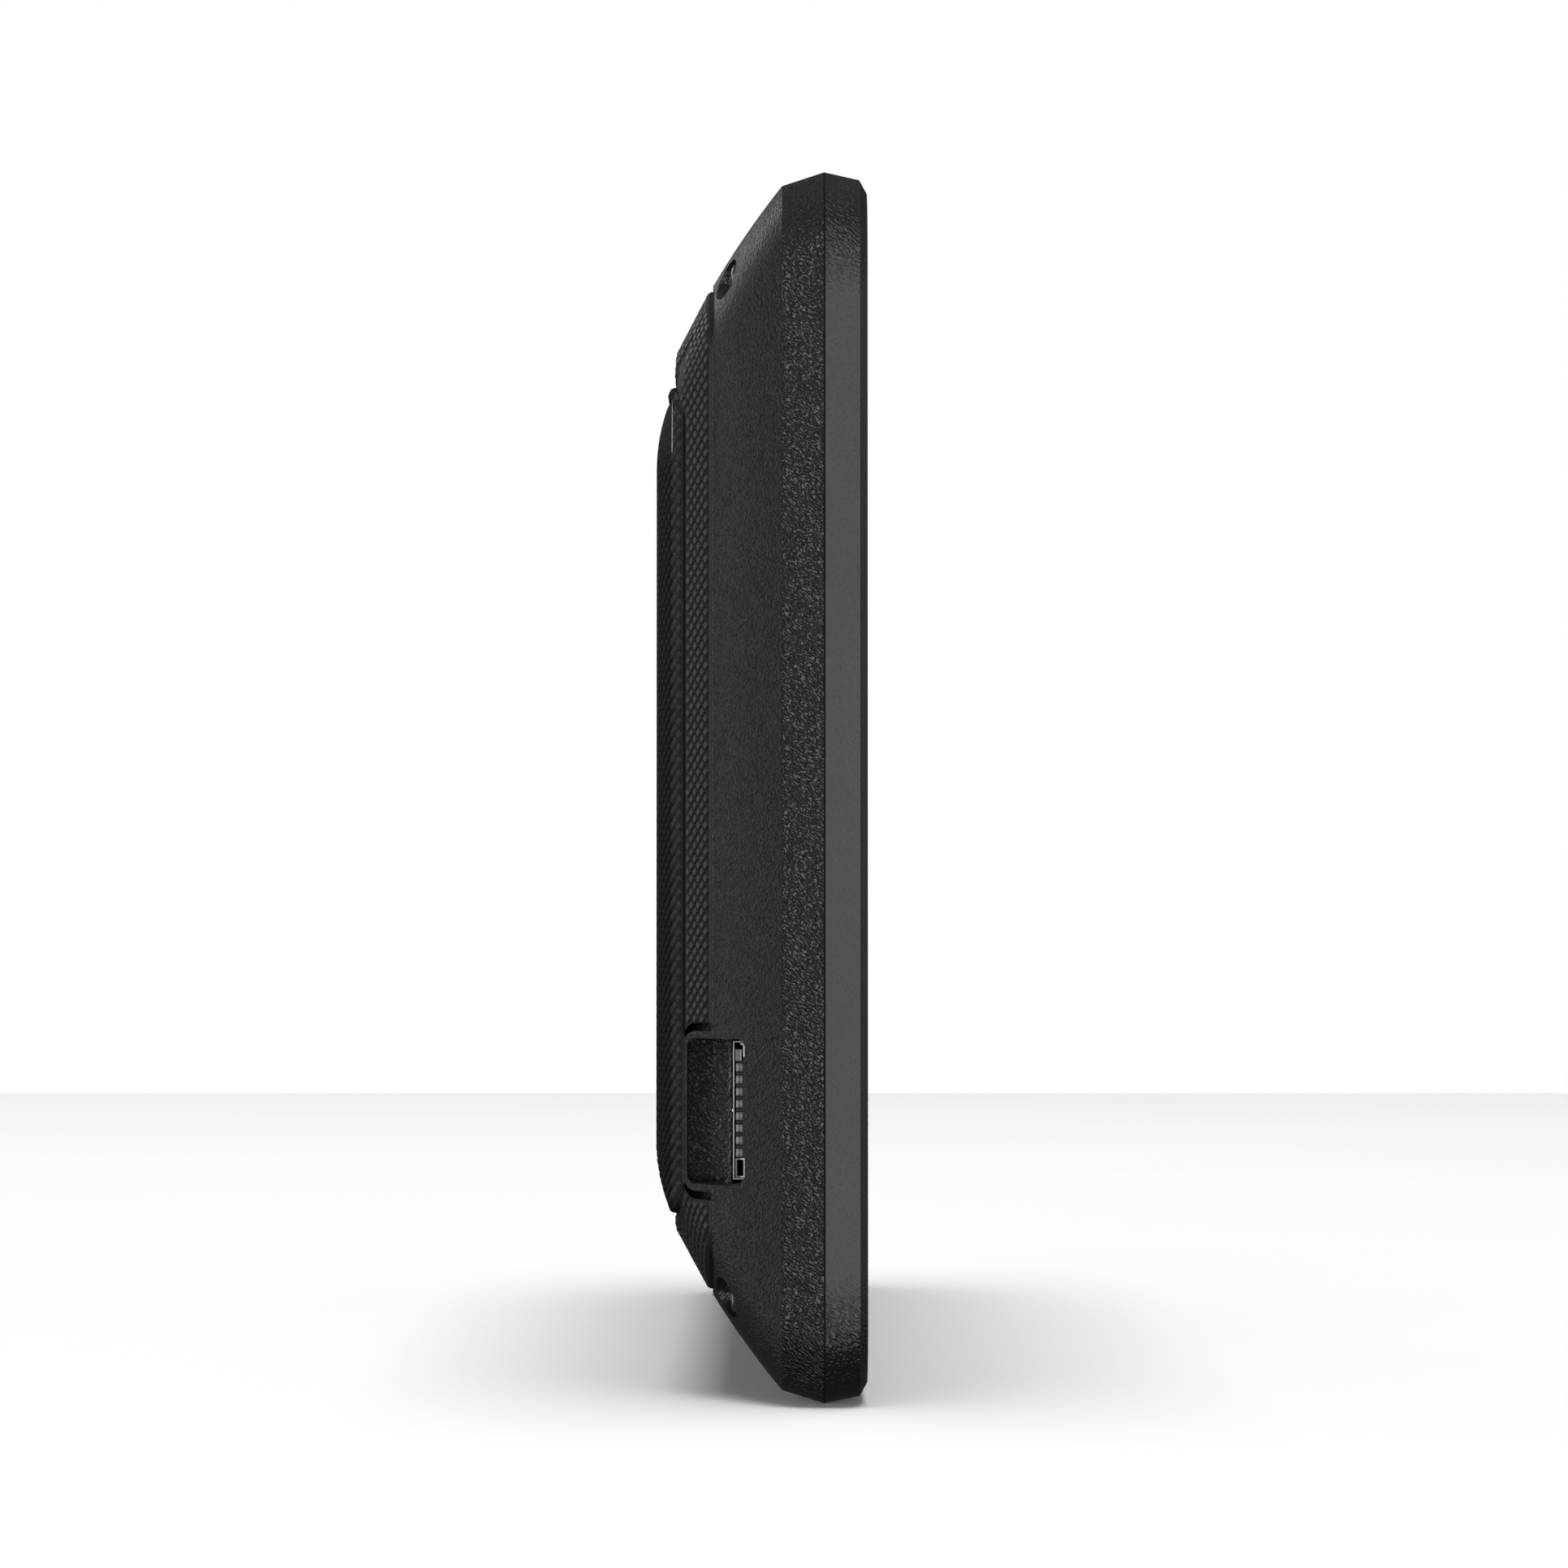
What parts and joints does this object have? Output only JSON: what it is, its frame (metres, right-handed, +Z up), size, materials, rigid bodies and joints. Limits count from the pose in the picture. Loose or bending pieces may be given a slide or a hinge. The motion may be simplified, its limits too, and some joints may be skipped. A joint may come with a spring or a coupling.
{
  "type": "handheld gps unit",
  "caption": "Slim rugged landscape GPS navigator: glass front, chamfered black housing, diamond-relief grip hump and pad, card recess on the left side, dock plate on the back.",
  "frame": {"origin": "centre of the unit's bounding box", "axes": "+Z up with the screen in landscape, +X to the right as seen from the front, the screen looks along -Y and the grip pad along +Y"},
  "size_m": [0.178, 0.0192, 0.11],
  "materials": {
    "housing_black": "fine leather-like moulded grain",
    "bezel_black": "very fine satin moulding with a smooth bevel",
    "grip_rubber": "raised diamond relief",
    "pad_rubber": "raised diamond relief",
    "badge_satin": "satin, blank",
    "screen_glass": "clear, printed black round the display",
    "display_dark": "dark when off",
    "gasket_foam": "closed-cell foam",
    "sheet_steel": "thin rolled sheet",
    "dock_steel": "dark nickel",
    "screw_black": "black zinc",
    "screw_steel": "bright zinc",
    "magnesium": "as cast",
    "brass_insert": "knurled",
    "board_green": "solder mask",
    "chip_black": "moulded epoxy",
    "socket_plastic": "glass-filled nylon",
    "contact_gold": "gold flash",
    "ceramic": "fired ceramic",
    "silver_patch": "silver ink",
    "battery_foil": "laminated foil",
    "flex_amber": "polyimide film",
    "key_rubber": "satin",
    "cone_paper": "coated film"
  },
  "bodies": {
    "unit": {"antenna_patch": "silver_patch", "backlight_tray": "sheet_steel", "badge_plate": "badge_satin", "battery_flex": "flex_amber", "battery_pack": "battery_foil", "battery_pads": "gasket_foam", "board_chips": "chip_black", "board_screws": "screw_steel", "card_contacts": "contact_gold", "card_socket_base": "socket_plastic", "card_socket_shell": "sheet_steel", "cover_glass": "screen_glass", "display_flex": "flex_amber", "display_gasket": "gasket_foam", "dock_contact_block": "socket_plastic", "dock_contacts": "contact_gold", "dock_plate": "dock_steel", "frame_screws": "screw_steel", "front_bezel": "bezel_black", "gps_antenna": "ceramic", "grip_cover": "grip_rubber", "grip_pad": "pad_rubber", "housing_gasket": "gasket_foam", "housing_screws": "screw_black", "key_flex": "flex_amber", "lcd_panel": "display_dark", "main_board": "board_green", "microphone": "chip_black", "mid_frame": "magnesium", "power_switch": "chip_black", "processor_shield": "sheet_steel", "radio_shield": "sheet_steel", "rear_housing": "housing_black", "speaker_frame": "chip_black", "speaker_gasket": "gasket_foam", "speaker_magnet": "sheet_steel", "thermal_pad": "gasket_foam", "thread_inserts": "brass_insert", "usb_shell": "sheet_steel", "usb_tongue": "socket_plastic"},
    "power_key": {"power_key": "key_rubber"},
    "speaker_cone": {"speaker_cone": "cone_paper"},
    "card_slider": {"card_slider": "chip_black"}
  },
  "joints": [
    {"name": "key_press", "type": "slide", "parent": "unit", "child": "power_key", "axis": [0, 0, -1], "range_m": [0, 0.00035], "stiffness_N_per_m": 2000, "springref_m": -0.0002},
    {"name": "cone_travel", "type": "slide", "parent": "unit", "child": "speaker_cone", "axis": [0, 1, 0], "range_m": [-0.00025, 0.00025], "stiffness_N_per_m": 1000},
    {"name": "card_push", "type": "slide", "parent": "unit", "child": "card_slider", "axis": [1, 0, 0], "range_m": [0, 0.0009], "stiffness_N_per_m": 300, "springref_m": -0.0002}
  ]
}
